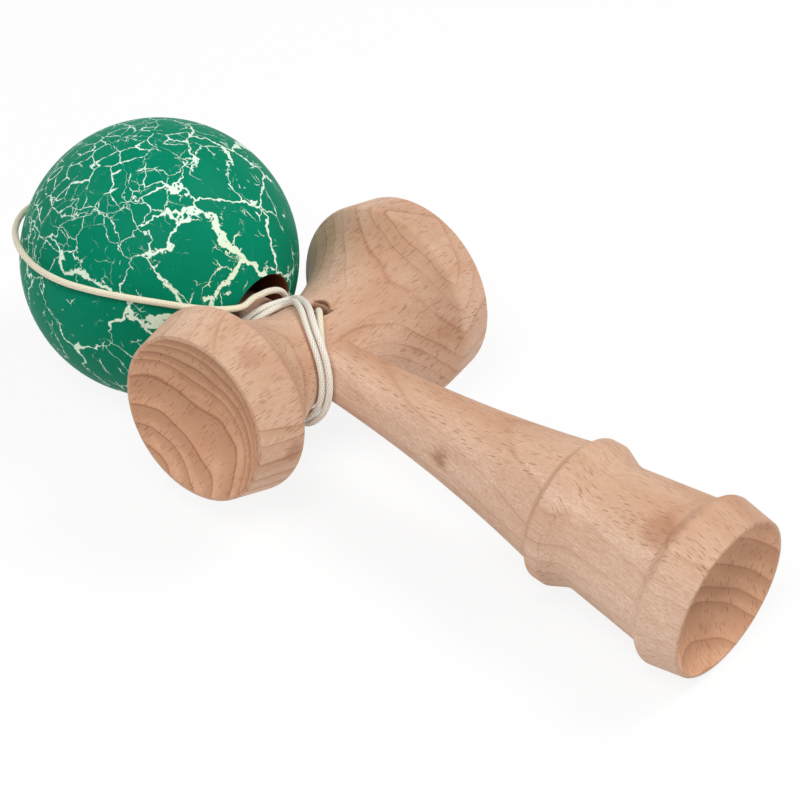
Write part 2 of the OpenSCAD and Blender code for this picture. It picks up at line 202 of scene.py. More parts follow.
def on_hole_line(t):
    return Vector((t * math.sin(HOLE_LEAN), -t * math.cos(HOLE_LEAN), SARADO_H))


def bezier3(p, w):
    return p[0] * (1 - w) ** 3 + p[1] * 3 * w * (1 - w) ** 2 + p[2] * 3 * w * w * (1 - w) + p[3] * w ** 3


def string_route():
    """The string's points from the knot in the handle to the knot below the bead, in millimetres."""
    start = wound_point(WOUND_FROM)
    along = (wound_point(WOUND_FROM + 3) - start).normalized()
    bend = [on_hole_line(LEAD_OUT), on_hole_line(LEAD_OUT + 7), start - along * 9, start]
    points = [on_hole_line(t) for t in (KNOT_SEAT, 0, 2.4, LEAD_END)]
    points += [bezier3(bend, i / 12) for i in range(12)]
    points += [wound_point(total) for total in range(WOUND_FROM, WOUND_TO + 1, WOUND_STEP)]
    points.append(points[-1] + Vector((0, -2 * STRING_R, 0)))
    points += [Vector(p) + Vector((0, 0, SARADO_H)) for p in RUN_LOW]
    points += [Vector(p) + BALL for p in RUN_BALL]
    points += [BALL + Vector((0, 0, z)) for z in (26.1, 20, 13, BEAD_LOW)]
    return points


def smoothed(points, step):
    """Points a step apart on a smooth curve through the given ones."""
    ends = [points[0] * 2 - points[1]] + points + [points[-1] * 2 - points[-2]]
    fine = []
    for a, b, c, d in zip(ends, ends[1:], ends[2:], ends[3:]):
        count = max(2, round((c - b).length / step))
        t1 = (b - a).length ** 0.5
        t2 = t1 + (c - b).length ** 0.5
        t3 = t2 + (d - c).length ** 0.5
        for i in range(count):
            t = mix(t1, t2, i / count)
            p = a * ((t1 - t) / t1) + b * (t / t1)
            q = b * ((t2 - t) / (t2 - t1)) + c * ((t - t1) / (t2 - t1))
            r = c * ((t3 - t) / (t3 - t2)) + d * ((t - t2) / (t3 - t2))
            u = p * ((t2 - t) / t2) + q * (t / t2)
            v = q * ((t3 - t) / (t3 - t1)) + r * ((t - t1) / (t3 - t1))
            fine.append(u * ((t2 - t) / (t2 - t1)) + v * ((t - t1) / (t2 - t1)))
    return fine + [points[-1]]


def select(*pieces):
    bpy.ops.object.select_all(action="DESELECT")
    for piece in pieces:
        piece.select_set(True)
    bpy.context.view_layer.objects.active = pieces[0]


def braided_tube(name, path, radius, sides, closed=False):
    """A braided cord along a path in metres: two sets of strands wind round it and cross over and under."""
    count = len(path)
    if closed:
        dirs = [(path[(i + 1) % count] - path[i - 1]).normalized() for i in range(count)]
    else:
        dirs = [(path[min(i + 1, count - 1)] - path[max(i - 1, 0)]).normalized() for i in range(count)]
    side = dirs[0].orthogonal().normalized()
    verts, crowns, run, length = [], [], [], 0.0
    for i, (p, d) in enumerate(zip(path, dirs)):
        side = (side - d * side.dot(d)).normalized()
        up = d.cross(side)
        length += (p - path[i - 1]).length if i else 0
        turn = 2 * math.pi * length / (BRAID_LAY * MM)
        for k in range(sides):
            t = 2 * math.pi * k / sides
            left = math.cos(BRAID_STRANDS * t + turn)
            right = math.cos(BRAID_STRANDS * t - turn)
            crown = max(left, right) * 0.5 + 0.5
            crowns.append(crown)
            run.append(length / MM)
            r = radius * (1 - BRAID_RELIEF * (1 - crown))
            verts.append(p + (side * math.cos(t) + up * math.sin(t)) * r)
    faces = []
    for i in range(count if closed else count - 1):
        a, b = i * sides, (i + 1) % count * sides
        faces += [(a + k, a + (k + 1) % sides, b + (k + 1) % sides, b + k) for k in range(sides)]
    if not closed:
        faces += [tuple(reversed(range(sides))), tuple(range((count - 1) * sides, count * sides))]
    mesh = bpy.data.meshes.new(name)
    mesh.from_pydata(verts, [], faces)
    mesh.attributes.new("crown", "FLOAT", "POINT").data.foreach_set("value", crowns)
    mesh.attributes.new("run", "FLOAT", "POINT").data.foreach_set("value", run)
    piece = bpy.data.objects.new(name, mesh)
    scene.collection.objects.link(piece)
    select(piece)
    bpy.ops.object.shade_smooth()
    piece.select_set(False)
    return piece


def knot(name, centre, axis, replaced, body):
    """An overhand knot pulled tight: one loop of the cord through itself."""
    turn = Vector((0, 0, 1)).rotation_difference(Vector(axis)).to_matrix()
    loop = []
    for i in range(KNOT_POINTS):
        t = 2 * math.pi * i / KNOT_POINTS
        wide = KNOT_WIDE * (2 + math.cos(3 * t))
        p = Vector((wide * math.cos(2 * t), wide * math.sin(2 * t), KNOT_TALL * math.sin(3 * t)))
        loop.append(centre + turn @ (p * MM))
    made = braided_tube(name, loop, KNOT_CORD_R * MM, KNOT_SIDES, closed=True)
    dress(made, cotton)
    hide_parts(replaced)
    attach(made, body)
    return made


def rounded(corners):
    """An outline with rounded corners. A corner is its radius from the axis, its height and its round."""
    flat = [Vector(c[:2]) for c in corners]
    outline = []
    for i, corner in enumerate(corners):
        if not corner[2]:
            outline.append(flat[i])
            continue
        to, away = (flat[i - 1] - flat[i]).normalized(), (flat[i + 1] - flat[i]).normalized()
        half = to.angle(away) / 2
        middle = flat[i] + (to + away).normalized() * (corner[2] / math.sin(half))
        p, q = (flat[i] + d * (corner[2] / math.tan(half)) - middle for d in (to, away))
        turn = p.angle(q)
        for k in range(ROUND_STEPS + 1):
            w = k / ROUND_STEPS
            arm = p * math.sin((1 - w) * turn) + q * math.sin(w * turn)
            outline.append(middle + arm / math.sin(turn))
    return outline


def dish_radius(rim_r, depth):
    return (rim_r * rim_r + depth * depth) / (2 * depth)


def handle_outline():
    """The handle from the bottom of its base cup, over flange, grip, ring and shaft, to the spike's tip."""
    rim, depth = BASE_CUP
    dish = dish_radius(rim, depth)
    sweep = math.asin(rim / dish)
    corners = []
    for i in range(CURVE_STEPS):
        angle = sweep * i / CURVE_STEPS
        corners.append((dish * math.sin(angle), depth - dish + dish * math.cos(angle), 0))
    corners += [(rim, 0, 0.2), (17.5, 0, 0.35), (18.95, 8.7, 2.2), (16.4, 11.5, 1.4), (13.8, 30.7, 6.0),
                (16.05, 35.6, 1.1), (15.9, 38.6, 1.1), (13.75, 40.4, 2.0)]
    thick, slim, end = Vector((13.6, 41.6)), Vector((7.6, 69.6)), Vector((SHAFT_R, SARADO_H - WAIST_R - 1))
    for i in range(CURVE_STEPS + 1):
        w = i / CURVE_STEPS
        corners.append((*(thick * (1 - w) ** 2 + slim * 2 * w * (1 - w) + end * w * w), 0))
    corners += [(SHAFT_R, SARADO_H - 2, 0), (SPIKE_R, SARADO_H - 2, 0), (SPIKE_R, SARADO_H + WAIST_R, 0),
                (3.5, 149.55, 2.1), (0, 152, 0)]
    return rounded(corners)


def turned(name, outline):
    """A piece turned on the lathe from an outline in millimetres, laid in its place."""
    mesh = bpy.data.meshes.new(name)
    points = [(p.x * MM, 0, p.y * MM) for p in outline]
    mesh.from_pydata(points, [(i, i + 1) for i in range(len(points) - 1)], [])
    piece = bpy.data.objects.new(name, mesh)
    scene.collection.objects.link(piece)
    select(piece)
    bpy.ops.object.modifier_add(type="SCREW")
    lathe = piece.modifiers[-1]
    lathe.steps = lathe.render_steps = LATHE_STEPS
    bpy.ops.object.modifier_apply(modifier=lathe.name)
    bpy.ops.object.mode_set(mode="EDIT")
    bpy.ops.mesh.select_all(action="SELECT")
    bpy.ops.mesh.remove_doubles(threshold=0.001 * MM)
    bpy.ops.mesh.normals_make_consistent(inside=False)
    bpy.ops.object.mode_set(mode="OBJECT")
    mesh.transform(Matrix.Translation(LAID_AT * MM) @ LAID.to_4x4())
    return piece


def drill(piece, start, end, radius):
    """A round hole between two points in metres."""
    way = end - start
    bpy.ops.mesh.primitive_cylinder_add(
        vertices=DRILL_SIDES, radius=radius * MM, depth=way.length, location=(start + end) / 2,
        rotation=way.to_track_quat("Z", "Y").to_euler())
    bit = bpy.context.object
    select(piece)
    bpy.ops.object.modifier_add(type="BOOLEAN")
    piece.modifiers[-1].object = bit
    bpy.ops.object.modifier_apply(modifier=piece.modifiers[-1].name)
    select(bit)
    bpy.ops.object.delete()


def colour(text):
    """An sRGB hex value as linear red, green, blue and alpha."""
    channels = [int(text[i:i + 2], 16) / 255 for i in (1, 3, 5)]
    return [c / 12.92 if c <= 0.04045 else ((c + 0.055) / 1.055) ** 2.4 for c in channels] + [1]


def add(tree, kind, links, **settings):
    """A node of that kind, with its settings. Each input is a value, a socket, or a node's first output."""
    made = tree.nodes.new("ShaderNode" + kind)
    for key, value in settings.items():
        setattr(made, key, value)
    for key, value in links.items():
        if isinstance(value, bpy.types.Node):
            value = value.outputs[0]
        if isinstance(value, bpy.types.NodeSocket):
            tree.links.new(value, made.inputs[key])
        else:
            made.inputs[key].default_value = value
    return made


def material(name):
    made = bpy.data.materials.new(name)
    made.use_nodes = True
    made.node_tree.nodes.clear()
    return made, made.node_tree


def dress(piece, finish):
    piece.data.materials.clear()
    piece.data.materials.append(finish)


def on_axis(tree, axis, centre):
    """Object coordinates in millimetres from a centre, turned so that Z runs along an axis."""
    turn = Vector(axis).rotation_difference(Vector((0, 0, 1)))
    shift = -(turn @ (Vector(centre) / MM))
    place = add(tree, "TexCoord", {}).outputs["Object"]
    return add(tree, "Mapping", {"Vector": place, "Location": shift, "Rotation": turn.to_euler(),
                                 "Scale": (1 / MM, 1 / MM, 1 / MM)})


KEN_AXIS = LAID @ Vector((0, 0, 1))
SARADO_AXIS = LAID @ Vector((1, 0, 0))
HOLE_AXIS = LAID @ Vector((math.sin(HOLE_LEAN), -math.cos(HOLE_LEAN), 0))

# Paler and deeper wood, late wood with fibres and grit, ring lines with stains
PALE_WOOD, DEEP_WOOD, LATE_WOOD, RING_LINE = "#E9C9B2", "#CFA286", "#C09273", "#A06A4B"
# Rays and worn, shaded holes; the cast of end grain; painted light along the rays, painted shade across them
RAY_AND_HOLE_SHADE_BROWN, CUP_CAST, PAINTED_LIGHT_ALONG_RAYS, PAINTED_SHADE_ACROSS_RAYS = "#74452D", "#F8E5D4", "#F3DAC8", "#EAE6E2"


def growth_rings(tree, at, long, fibre, ring_width):
    """Late wood and the line that ends it, in rings round the tree's heart that drift by some millimetres."""
    drift = add(tree, "TexNoise", {"Vector": long, "Scale": 0.045, "Detail": 2.0, "Roughness": 0.45})
    push = add(tree, "VectorMath", {0: drift.outputs["Color"], 1: (0.5, 0.5, 0.5)}, operation="SUBTRACT")
    push = add(tree, "VectorMath", {0: push, 1: (12, 12, 0)}, operation="MULTIPLY")
    bent = add(tree, "VectorMath", {0: at, 1: push}, operation="ADD")
    flat = add(tree, "VectorMath", {0: bent, 1: (1, 1, 0)}, operation="MULTIPLY")
    reach = add(tree, "VectorMath", {0: flat}, operation="LENGTH").outputs["Value"]
    count = add(tree, "Math", {0: reach, 1: ring_width}, operation="DIVIDE")
    # Some years are wider than others, and fibres make the edges ragged
    years = add(tree, "TexNoise", {"W": count, "Scale": 0.45, "Detail": 1.0}, noise_dimensions="1D")
    count = add(tree, "Math", {0: years, 1: 2.6, 2: count}, operation="MULTIPLY_ADD")
    count = add(tree, "Math", {0: fibre, 1: 0.16, 2: count}, operation="MULTIPLY_ADD")
    part = add(tree, "Math", {0: count}, operation="FRACT")
    fall = add(tree, "MapRange", {"Value": part, 1: 0.94, 2: 1.0, 3: 1.0, 4: 0.0})
    late, line = (add(tree, "MapRange", {"Value": part, 1: low, 2: high}, interpolation_type="SMOOTHSTEP")
                  for low, high in ((0.2, 0.95), (0.84, 0.93)))
    return [add(tree, "Math", {0: rise, 1: fall}, operation="MULTIPLY") for rise in (late, line)]


def ray_flecks(tree, axis, heart, moved, cloud):
    """Rays: thin sheets that stand out from the heart, 0.12 mm thick, 1.4 mm deep and 1.7 mm long.

    A side cut shows their edges as dashes along the grain, and a cup as strokes across the rings.
    """
    outward = Vector(axis).rotation_difference(Vector((0, 0, 1))) @ -Vector(heart)
    turn = (0, 0, math.atan2(outward.x, outward.y))
    sheets = add(tree, "Mapping", {"Vector": moved, "Rotation": turn})
    cells = add(tree, "VectorMath", {0: sheets, 1: (4.0, 0.34, 0.27)}, operation="MULTIPLY")
    dash = add(tree, "TexVoronoi", {"Vector": cells, "Scale": 1.0, "Randomness": 1.0}, feature="F1")
    kept = add(tree, "SeparateColor", {"Color": dash.outputs["Color"]})
    crowd = add(tree, "MapRange", {"Value": cloud, 1: 0.35, 2: 0.65, 3: 0.66, 4: 0.08})
    kept = add(tree, "Math", {0: kept, 1: crowd}, operation="GREATER_THAN")
    inside = add(tree, "MapRange", {"Value": dash.outputs["Distance"], 1: 0.16, 2: 0.3, 3: 1.0, 4: 0.0})
    return add(tree, "Math", {0: inside, 1: kept}, operation="MULTIPLY")


def beech(name, axis, middle, heart, ring_width, ring_share, seed, dishes=(), stains=(), holes=()):
    """Beech, turned and sanded: growth rings cut by the turning, dark flecks where rays end, dull sheen."""
    made, tree = material(name)
    place = add(tree, "TexCoord", {}).outputs
    at = on_axis(tree, axis, middle + Vector(heart))
    moved = add(tree, "VectorMath", {0: at, 1: (seed, seed * 2.3, seed * 1.7)}, operation="ADD")
    long = add(tree, "VectorMath", {0: moved, 1: (1, 1, 0.25)}, operation="MULTIPLY")
    cloud = add(tree, "TexNoise", {"Vector": long, "Scale": 0.09, "Detail": 3.0, "Roughness": 0.6})
    # Fibres: streaks a third of a millimetre wide and a centimetre or two long. Grit: finer and shorter.
    thread = add(tree, "VectorMath", {0: moved, 1: (2.6, 2.6, 0.09)}, operation="MULTIPLY")
    fibre = add(tree, "TexNoise", {"Vector": thread, "Scale": 1.0, "Detail": 4.0, "Roughness": 0.7})
    grain = add(tree, "VectorMath", {0: moved, 1: (3.4, 3.4, 1.1)}, operation="MULTIPLY")
    grit = add(tree, "TexNoise", {"Vector": grain, "Scale": 1.0, "Detail": 2.0, "Roughness": 0.6})
    late, line = growth_rings(tree, at, long, fibre, ring_width)
    plain = add(tree, "MapRange", {"Value": cloud, 1: 0.4, 2: 0.62, 3: 0.25, 4: 1.0})
    fleck = ray_flecks(tree, axis, heart, moved, cloud)
    # A cut along the sheets of the rays meets them flat, so that side shows no dashes
    across = Vector(axis).cross(Vector(heart)).normalized()
    facing = add(tree, "VectorMath", {0: place["Normal"], 1: across}, operation="DOT_PRODUCT")
    facing = add(tree, "Math", {0: facing.outputs["Value"]}, operation="ABSOLUTE")
    edges = add(tree, "MapRange", {"Value": facing, 1: 0.78, 2: 0.95, 3: 1.0, 4: 0.0})
    fleck = add(tree, "Math", {0: fleck, 1: edges}, operation="MULTIPLY")
    # Faces turned along the rays are painted paler, painted light; faces turned across them darker, painted
    # shade
    pale = add(tree, "MapRange", {"Value": facing, 1: 0.3, 2: 0.9, 3: 0.0, 4: 0.25})
    dull = add(tree, "MapRange", {"Value": facing, 1: 0.3, 2: 0.9, 3: 1.0, 4: 0.0})
    # A cup cuts across the grain: the wood there drinks more oil, so it is browner and its rings are plainer
    end = None
    for centre, radius in dishes:
        away = add(tree, "VectorMath", {0: place["Object"], 1: centre}, operation="DISTANCE").outputs["Value"]
        hollow = add(tree, "Math", {0: away, 1: radius + 0.12 * MM}, operation="LESS_THAN")
        end = hollow if end is None else add(tree, "Math", {0: end, 1: hollow}, operation="MAXIMUM")
    cup_tones = []
    if end is not None:
        dull = add(tree, "Math", {0: dull, 1: end}, operation="SUBTRACT", use_clamp=True)
        plain = add(tree, "Math", {0: end, 1: 0.9, 2: plain}, operation="MULTIPLY_ADD")
        deep = add(tree, "Math", {0: late, 1: end}, operation="MULTIPLY")
        deep = add(tree, "Math", {0: deep, 1: 0.5}, operation="MULTIPLY")
        cup_tones = [(end, CUP_CAST, "MULTIPLY"), (deep, RING_LINE, "MIX")]
    tones = [(pale, PAINTED_LIGHT_ALONG_RAYS, "MIX"), (dull, PAINTED_SHADE_ACROSS_RAYS, "MULTIPLY")] + cup_tones
    for streak, low, high, share in ((fibre, 0.37, 0.66, 0.5), (grit, 0.42, 0.66, 0.44)):
        streak = add(tree, "MapRange", {"Value": streak, 1: low, 2: high, 3: 0.0, 4: share})
        tones.append((streak, LATE_WOOD, "MIX"))
    for ring, share, tone in ((late, ring_share, LATE_WOOD), (line, ring_share * 0.8, RING_LINE)):
        ring = add(tree, "MapRange", {"Value": ring, 3: 0.0, 4: share})
        ring = add(tree, "Math", {0: ring, 1: plain}, operation="MULTIPLY", use_clamp=True)
        tones.append((ring, tone, "MIX"))
    # Brown stains: soft spots with a ragged edge
    ragged = add(tree, "Math", {0: cloud, 1: fibre}, operation="ADD")
    for spot, size, depth in stains:
        away = add(tree, "VectorMath", {0: place["Object"], 1: spot}, operation="DISTANCE").outputs["Value"]
        away = add(tree, "Math", {0: ragged, 1: -size * 1.6, 2: away}, operation="MULTIPLY_ADD")
        spread = add(tree, "MapRange", {"Value": away, 1: -1.3 * size, 2: -0.3 * size, 3: depth, 4: 0.0},
                     interpolation_type="SMOOTHSTEP")
        tones.append((spread, RING_LINE, "MIX"))
    # A string has worn its hole's mouth brown, with a soft edge, and the wall inside is painted dark brown as
    # painted shade
    for spot, way, radius in holes:
        inner = on_axis(tree, way, spot)
        reach = add(tree, "VectorMath", {0: inner, 1: (1, 1, 0)}, operation="MULTIPLY")
        reach = add(tree, "VectorMath", {0: reach}, operation="LENGTH").outputs["Value"]
        worn_mouth_and_shade = add(tree, "MapRange", {"Value": reach, 1: radius + 0.1, 2: radius + 0.6, 3: 0.8, 4: 0.0})
        mouth = add(tree, "VectorMath", {0: inner, 1: (0, 0, 1)}, operation="DOT_PRODUCT").outputs["Value"]
        mouth = add(tree, "Math", {0: mouth, 1: 0.0}, operation="GREATER_THAN")
        tones.append((add(tree, "Math", {0: worn_mouth_and_shade, 1: mouth}, operation="MULTIPLY"), RAY_AND_HOLE_SHADE_BROWN, "MIX"))
    tones.append((add(tree, "Math", {0: fleck, 1: 0.72}, operation="MULTIPLY"), RAY_AND_HOLE_SHADE_BROWN, "MIX"))
    tonal = add(tree, "MapRange", {"Value": cloud, 1: 0.3, 2: 0.7})
    base = colour(PALE_WOOD)
    for share, tone, way in [(tonal, DEEP_WOOD, "MIX")] + tones:
        coat = add(tree, "Mix", {0: share, 6: base, 7: colour(tone)}, data_type="RGBA", blend_type=way)
        base = coat.outputs[2]
    rough = add(tree, "MapRange", {"Value": fibre, 1: 0.3, 2: 0.7, 3: 0.52, 4: 0.66})
    relief = add(tree, "Math", {0: fibre, 1: fleck}, operation="SUBTRACT")
    bump = add(tree, "Bump", {"Height": relief, "Strength": 0.2, "Distance": 0.12 * MM})
    face = add(tree, "BsdfPrincipled", {"Base Color": base, "Roughness": rough, "Normal": bump,
                                        "Specular IOR Level": 0.25, "IOR": 1.5})
    add(tree, "OutputMaterial", {"Surface": face})
    return made


# The side of the ball where the paint dried thin, with the smallest cells, and those where it lay thick, each
# with how much thicker
THIN_SIDE = Vector((-0.278, -0.308, 0.911))
THICK_SIDES = (((0.757, -0.133, 0.639), 0.24), ((0.16, -0.959, -0.235), 0.04))
# For each net of cracks, in millimetres: cell size, half width closed and what gaping adds, how far the
# cracks wander, the sides of the ball where it fades in and out, and the share of it broken into hairs
CRACK_NETS = (
    (14.0, 0.1, 0.52, 9.0, (-3, -2, 1.15, 1.4), None),
    (6.8, 0.11, 0.0, 5.0, (0.8, 1.0, 1.12, 1.32), (0.36, 0.46)),
    (4.0, 0.15, 0.0, 3.2, (1.02, 1.2, 3, 4), (0.36, 0.5)),
    (9.5, 0.15, 0.0, 8.0, (-3, -2, 1.0, 1.15), (0.47, 0.62)),
    (5.2, 0.12, 0.0, 5.0, (-3, -2, 1.0, 1.15), (0.52, 0.66)),
    (2.7, 0.09, 0.0, 3.0, (-3, -2, 0.9, 1.1), (0.6, 0.7)),
)
# Two greens of the top coat, the ground in narrow and in wide cracks, and bare wood in the holes, painted
# dark as shade
DARK_GREEN, LIGHT_GREEN = "#02795A", "#048464"
COOL_GROUND, WARM_GROUND, BARE_WOOD_IN_SHADE = "#E2F6EA", "#E2F2D6", "#74402C"


def crack_net(tree, at, wander, side, gape, net):
    """Where one net of cracks lies open."""
    cell, shut, wide, stray, fade, hairs = net
    spot = at
    for push, far in zip(wander, (stray, 0.8 + 0.04 * cell)):
        push = add(tree, "VectorMath", {0: push, 3: far}, operation="SCALE")
        spot = add(tree, "VectorMath", {0: spot, 1: push}, operation="ADD")
    spot = add(tree, "VectorMath", {0: spot, 1: (1, 1, 0.66)}, operation="MULTIPLY")
    edge = add(tree, "TexVoronoi", {"Vector": spot, "Scale": 1 / cell}, feature="DISTANCE_TO_EDGE")
    gap = add(tree, "Math", {0: edge.outputs["Distance"], 1: cell}, operation="MULTIPLY")
    width = add(tree, "Math", {0: gape, 1: wide, 2: shut}, operation="MULTIPLY_ADD")
    shares = [(side, fade[0], fade[1], -0.3, 1.0), (side, fade[2], fade[3], 1.0, -0.3)]
    if hairs:
        where = add(tree, "VectorMath", {0: at, 1: (cell * 7, cell * 3, cell * 5)}, operation="ADD")
        patch = add(tree, "TexNoise", {"Vector": where, "Scale": 1.1 / cell, "Detail": 2.0})
        shares.append((patch, hairs[0], hairs[1], -0.3, 1.0))
    for measure, low, high, near, far in shares:
        share = add(tree, "MapRange", {"Value": measure, 1: low, 2: high, 3: near, 4: far})
        width = add(tree, "Math", {0: width, 1: share}, operation="MULTIPLY")
    over = add(tree, "Math", {0: width, 1: gap}, operation="SUBTRACT")
    return add(tree, "MapRange", {"Value": over, 1: 0.0, 2: 0.07})


def crackle_paint():
    """Crackle enamel on a wooden ball: a green top coat that shrank and split over a pale ground."""
    made, tree = material("crackle_enamel_on_wood")
    at = on_axis(tree, THIN_SIDE, laid(BALL))
    lean = add(tree, "VectorMath", {0: at, 1: (0, 0, 1 / BALL_R)}, operation="DOT_PRODUCT").outputs["Value"]
    drift = add(tree, "TexNoise", {"Vector": at, "Scale": 0.07, "Detail": 2.0})
    side = add(tree, "Math", {0: drift, 1: 0.6, 2: lean}, operation="MULTIPLY_ADD")
    # Where the coat lay thickest it gapes most: round two places, and in patches elsewhere
    thick = add(tree, "TexNoise", {"Vector": at, "Scale": 0.06, "Detail": 2.0})
    place = on_axis(tree, (0, 0, 1), laid(BALL))
    for way, most in THICK_SIDES:
        near = add(tree, "VectorMath", {0: place, 1: Vector(way) / BALL_R}, operation="DOT_PRODUCT")
        near = add(tree, "MapRange", {"Value": near.outputs["Value"], 1: 0.72, 2: 0.98, 3: 0.0, 4: most})
        thick = add(tree, "Math", {0: thick, 1: near}, operation="ADD")
    gape = add(tree, "MapRange", {"Value": thick, 1: 0.46, 2: 0.86})
    # Two wanderings of the cracks: bends some millimetres long, and a ragged edge of some tenths
    wander = []
    for scale, detail, roughness in ((0.16, 3.0, 0.55), (0.95, 4.0, 0.62)):
        push = add(tree, "TexNoise", {"Vector": at, "Scale": scale, "Detail": detail, "Roughness": roughness})
        wander.append(add(tree, "VectorMath", {0: push.outputs["Color"], 1: (0.5, 0.5, 0.5)},
                          operation="SUBTRACT"))
    mask = None
    for net in CRACK_NETS:
        crack = crack_net(tree, at, wander, side, gape, net)
        mask = crack if mask is None else add(tree, "Math", {0: mask, 1: crack}, operation="MAXIMUM")
    # Crumbs of green left standing in the wide cracks
    crumb = add(tree, "TexNoise", {"Vector": at, "Scale": 1.5, "Detail": 3.0, "Roughness": 0.6})
    crumb = add(tree, "MapRange", {"Value": crumb, 1: 0.63, 2: 0.67, 3: 1.0, 4: 0.0})
    mask = add(tree, "Math", {0: mask, 1: crumb}, operation="MULTIPLY")
    # Inside the holes the wood is bare, painted dark brown as painted shade
    reach = add(tree, "VectorMath", {0: at}, operation="LENGTH").outputs["Value"]
    bare_in_shade = add(tree, "Math", {0: reach, 1: BALL_R - 0.12}, operation="LESS_THAN")
    tone = add(tree, "TexNoise", {"Vector": at, "Scale": 0.11, "Detail": 3.0})
    green = add(tree, "Mix", {0: tone, 6: colour(DARK_GREEN), 7: colour(LIGHT_GREEN)}, data_type="RGBA")
    ground = add(tree, "Mix", {0: gape, 6: colour(COOL_GROUND), 7: colour(WARM_GROUND)}, data_type="RGBA")
    paint = add(tree, "Mix", {0: mask, 6: green.outputs[2], 7: ground.outputs[2]}, data_type="RGBA")
    paint = add(tree, "Mix", {0: bare_in_shade, 6: paint.outputs[2], 7: colour(BARE_WOOD_IN_SHADE)}, data_type="RGBA")
    gloss = add(tree, "MapRange", {"Value": mask, 3: 0.5, 4: 0.68})
    height = add(tree, "Math", {0: 1.0, 1: mask}, operation="SUBTRACT")
    bump = add(tree, "Bump", {"Height": height, "Strength": 0.5, "Distance": 0.12 * MM})
    face = add(tree, "BsdfPrincipled", {"Base Color": paint.outputs[2], "Roughness": gloss, "Normal": bump,
                                        "Specular IOR Level": 0.04, "IOR": 1.5})
    add(tree, "OutputMaterial", {"Surface": face})
    return made


# White yarn, its cream stretches, painted shade in the gaps between strands, and fuzz
WHITE_YARN, CREAM_YARN, YARN_GAP_SHADE, YARN_FUZZ = "#F2EFE8", "#EFE6C8", "#CFC6B2", "#C9BFA8"
# The millimetres along the string between which it turns from cream to white and back
CREAM_UNTIL, CREAM_FROM = (30.0, 48.0), (242.0, 262.0)


def braided_cotton():
    """Braided cotton cord: matt, off-white, with painted shade in the gaps between the strands and cream
    stretches.
    """
    made, tree = material("braided_cotton")
    crown, run = (add(tree, "Attribute", {}, attribute_name=name).outputs["Fac"] for name in ("crown", "run"))
    place = add(tree, "TexCoord", {}).outputs["Object"]
    fuzz = add(tree, "TexNoise", {"Vector": place, "Scale": 5200.0, "Detail": 2.0})
    far = add(tree, "MapRange", {"Value": run, 1: CREAM_FROM[0], 2: CREAM_FROM[1]})
    near = add(tree, "MapRange", {"Value": run, 1: CREAM_UNTIL[0], 2: CREAM_UNTIL[1], 3: 1.0, 4: 0.0})
    cast = add(tree, "Math", {0: far, 1: near}, operation="MAXIMUM")
    # Painted shade in the gaps between the strands, none on their crowns
    depth = add(tree, "MapRange", {"Value": crown, 1: 0.35, 2: 0.85}, interpolation_type="SMOOTHSTEP")
    soft = add(tree, "MapRange", {"Value": fuzz, 1: 0.3, 2: 0.7, 3: 0.0, 4: 0.16})
    yarn = add(tree, "Mix", {0: cast, 6: colour(WHITE_YARN), 7: colour(CREAM_YARN)}, data_type="RGBA")
    yarn = add(tree, "Mix", {0: depth, 6: colour(YARN_GAP_SHADE), 7: yarn.outputs[2]}, data_type="RGBA")
    yarn = add(tree, "Mix", {0: soft, 6: yarn.outputs[2], 7: colour(YARN_FUZZ)}, data_type="RGBA")
    bump = add(tree, "Bump", {"Height": fuzz, "Strength": 0.3, "Distance": 0.05 * MM})
    face = add(tree, "BsdfPrincipled", {"Base Color": yarn.outputs[2], "Roughness": 0.85, "Normal": bump,
                                        "Sheen Weight": 0.25, "Specular IOR Level": 0.2})
    add(tree, "OutputMaterial", {"Surface": face})
    return made


def cup(at, along, rim_r, depth):
    """Middle and radius of a cup's ball-shaped hollow, from its rim's middle and the way into the wood."""
    radius = dish_radius(rim_r, depth)
    return laid(Vector(at) + Vector(along) * (depth - radius)), radius * MM


def seen_white(tree, least, most):
    """A share, high for what the camera, a reflection or glass sees, and low for light on the object."""
    ray = add(tree, "LightPath", {}).outputs
    seen = ray["Is Camera Ray"]
    for kind in ("Is Glossy Ray", "Is Transmission Ray"):
        seen = add(tree, "Math", {0: seen, 1: ray[kind]}, operation="MAXIMUM")
    return add(tree, "MapRange", {"Value": seen, 3: least, 4: most}).outputs[0]


# Each wood: the way its grain runs, its middle, the tree's heart from there in metres, ring width in
# millimetres, how plain the rings are, a seed, cups, stains by place, size and depth, and worn holes
# with painted shade inside
ken_beech = beech("beech_long_grain", (KEN_AXIS + Vector((0, 0.02, 0.055))).normalized(),
                  laid((0, 0, 0)), (0, -0.012, -0.046), 5.2, 0.36, 7.0,
                  [cup((0, 0, 0), (0, 0, 1), *BASE_CUP)],
                  [((0.0238, -0.0091, 0.0246), 0.003, 0.75), ((0.0769, -0.0072, 0.0343), 0.004, 0.42)])
sarado_beech = beech("beech_crosspiece", (SARADO_AXIS + Vector((0.05, 0, 0.07))).normalized(),
                     laid((0, 0, SARADO_H)), (-0.024, 0, -0.042), 4.0, 0.66, 31.0,
                     [cup((SMALL_END, 0, SARADO_H), (1, 0, 0), *SMALL_CUP),
                      cup((BIG_END, 0, SARADO_H), (-1, 0, 0), *BIG_CUP)],
                     [((-0.0105, -0.0284, 0.0446), 0.003, 0.4), ((0.0004, -0.0271, 0.0253), 0.0022, 0.5)],
                     [(laid((0, 0, SARADO_H)), HOLE_AXIS, SARADO_HOLE_R)])
bead_wood = beech("beech_bead", KEN_AXIS, laid(BALL), (0, 0.009, 0.014), 2.6, 0.4, 53.0)
handle = turned("handle", handle_outline())
drill(handle, laid(on_hole_line(-DRILL_REACH)), laid(on_hole_line(DRILL_REACH)), LEAD_HOLE_R)
